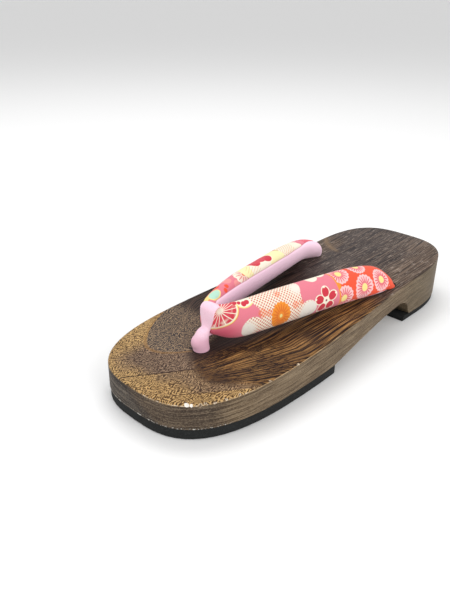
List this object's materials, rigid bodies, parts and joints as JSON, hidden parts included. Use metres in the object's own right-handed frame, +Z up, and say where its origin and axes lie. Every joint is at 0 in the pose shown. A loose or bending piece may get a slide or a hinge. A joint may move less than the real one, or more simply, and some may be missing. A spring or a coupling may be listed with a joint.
{
  "type": "geta sandal",
  "caption": "Low wooden geta sandal with an arched one-piece sole, black rubber outsoles, padded floral straps and a pink toe thong.",
  "frame": {"origin": "on the floor, under the middle of the sole's bounding box", "axes": "+Z up, -Y towards the toe, +X towards the side that the wearer of a left shoe calls the outer one"},
  "size_m": [0.087, 0.235, 0.0439],
  "materials": {
    "burnt_wood": "burnt and brushed wood with a thin satin coat, brown streaks on a near black ground",
    "black_rubber": "matt charcoal sponge rubber",
    "printed_fabric": "woven cotton with a traditional flower print in pink, vermilion, cream and red",
    "pink_lining": "soft napped pale pink cloth"
  },
  "bodies": {
    "root": {"wood_sole": "burnt_wood", "front_rubber": "black_rubber", "heel_rubber": "black_rubber", "strap_upper": "printed_fabric", "toe_thong": "pink_lining"}
  },
  "joints": []
}
